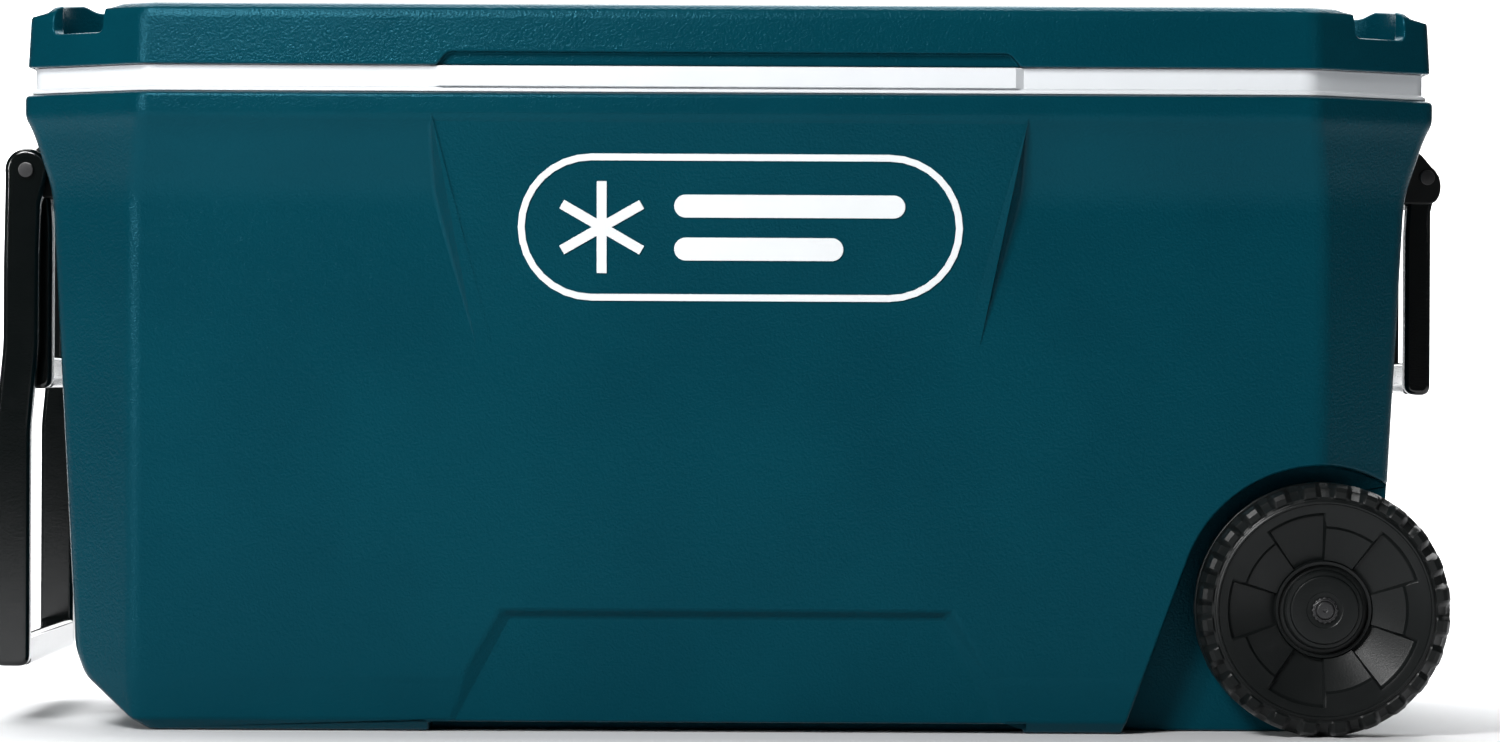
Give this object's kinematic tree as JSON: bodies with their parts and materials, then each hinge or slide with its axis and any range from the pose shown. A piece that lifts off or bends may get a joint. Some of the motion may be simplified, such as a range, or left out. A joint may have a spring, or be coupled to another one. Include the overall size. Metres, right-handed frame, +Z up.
{
  "type": "wheeled cooler",
  "caption": "Large insulated hard cooler box with hinged lid, corner cup recesses, swing-up end handles, long tow handle and wheels at one end",
  "frame": {"origin": "middle of the flat underside, at the base mount, between the two long walls", "axes": "+Z up; X is the length, towards the wheels; -Y is the front, with the lid opening there; the hinges are on +Y"},
  "size_m": [0.9661, 0.4568, 0.478],
  "materials": {
    "teal_shell": "fine-grained deep teal polypropylene",
    "white_liner": "smooth white polypropylene",
    "foam": "rigid insulating foam, hidden inside",
    "black_gloss": "polished black moulded plastic",
    "black_matte": "matte black moulded plastic",
    "steel": "zinc-plated steel",
    "dark_steel": "blackened steel",
    "white_print": "white raised graphic",
    "seal_rubber": "soft black rubber"
  },
  "bodies": {
    "root": {"body_shell": "teal_shell", "body_liner": "white_liner", "body_foam": "foam", "badge_frame": "white_print", "badge_snowflake": "white_print", "badge_bar_upper": "white_print", "badge_bar_lower": "white_print", "axle": "dark_steel", "axle_sleeve": "black_matte", "axle_bush_front": "black_matte", "axle_bush_rear": "black_matte", "wheel_washer_front": "steel", "wheel_washer_rear": "steel", "push_nut_front": "dark_steel", "push_nut_rear": "dark_steel", "drain_spout": "black_matte", "drain_gasket": "seal_rubber", "drain_nut": "black_matte", "end_bracket_left": "black_matte", "end_bracket_right": "black_matte", "pivot_rod_left": "dark_steel", "pivot_rod_right": "dark_steel", "rod_clip_left": "dark_steel", "rod_clip_right": "dark_steel", "bracket_screw_left_1": "steel", "bracket_screw_left_2": "steel", "bracket_screw_left_3": "steel", "bracket_screw_left_4": "steel", "bracket_screw_right_1": "steel", "bracket_screw_right_2": "steel", "bracket_screw_right_3": "steel", "bracket_screw_right_4": "steel", "hinge_body_leaf_left": "black_matte", "hinge_body_leaf_right": "black_matte", "hinge_pin_left": "steel", "hinge_pin_right": "steel", "hinge_body_screw_left_1": "steel", "hinge_body_screw_left_2": "steel", "hinge_body_screw_right_1": "steel", "hinge_body_screw_right_2": "steel"},
    "lid": {"lid_shell": "teal_shell", "lid_liner": "white_liner", "lid_foam": "foam", "hinge_lid_leaf_left": "black_matte", "hinge_lid_leaf_right": "black_matte", "hinge_lid_screw_left_1": "steel", "hinge_lid_screw_left_2": "steel", "hinge_lid_screw_right_1": "steel", "hinge_lid_screw_right_2": "steel"},
    "wheel_front_body": {"wheel_front": "black_matte"},
    "wheel_rear_body": {"wheel_rear": "black_matte"},
    "lift_left": {"lift_handle_left": "black_gloss"},
    "lift_right": {"lift_handle_right": "black_gloss"},
    "tow": {"tow_handle": "black_gloss"},
    "drain_plug": {"drain_cap_seal": "seal_rubber"},
    "drain_knob": {"drain_cap": "black_matte"}
  },
  "joints": [
    {"name": "lid_hinge", "type": "hinge", "parent": "root", "child": "lid", "pos_m": [0, 0.2295, 0.4335], "axis": [-1, 0, 0], "range_deg": [0, 95]},
    {"name": "wheel_front_spin", "type": "hinge", "parent": "root", "child": "wheel_front_body", "pos_m": [0.3885, -0.1925, 0.0825], "axis": [0, 1, 0], "continuous": true},
    {"name": "wheel_rear_spin", "type": "hinge", "parent": "root", "child": "wheel_rear_body", "pos_m": [0.3885, 0.1925, 0.0825], "axis": [0, 1, 0], "continuous": true},
    {"name": "lift_left_swing", "type": "hinge", "parent": "root", "child": "lift_left", "pos_m": [-0.468, 0, 0.3677], "axis": [0, 1, 0], "range_deg": [0, 100]},
    {"name": "lift_right_swing", "type": "hinge", "parent": "root", "child": "lift_right", "pos_m": [0.468, 0, 0.3677], "axis": [0, -1, 0], "range_deg": [0, 100]},
    {"name": "tow_swing", "type": "hinge", "parent": "root", "child": "tow", "pos_m": [-0.468, 0, 0.3677], "axis": [0, 1, 0], "range_deg": [0, 135]},
    {"name": "drain_slide", "type": "slide", "parent": "root", "child": "drain_plug", "axis": [-1, 0, 0], "range_m": [0, 0.0061]},
    {"name": "drain_turn", "type": "hinge", "parent": "drain_plug", "child": "drain_knob", "pos_m": [-0.43, 0, 0.05], "axis": [-1, 0, 0], "range_deg": [0, 540]}
  ],
  "couplings": [
    {"joint": "drain_slide", "follows": "drain_turn", "m_per_rad": 0.00063662}
  ]
}
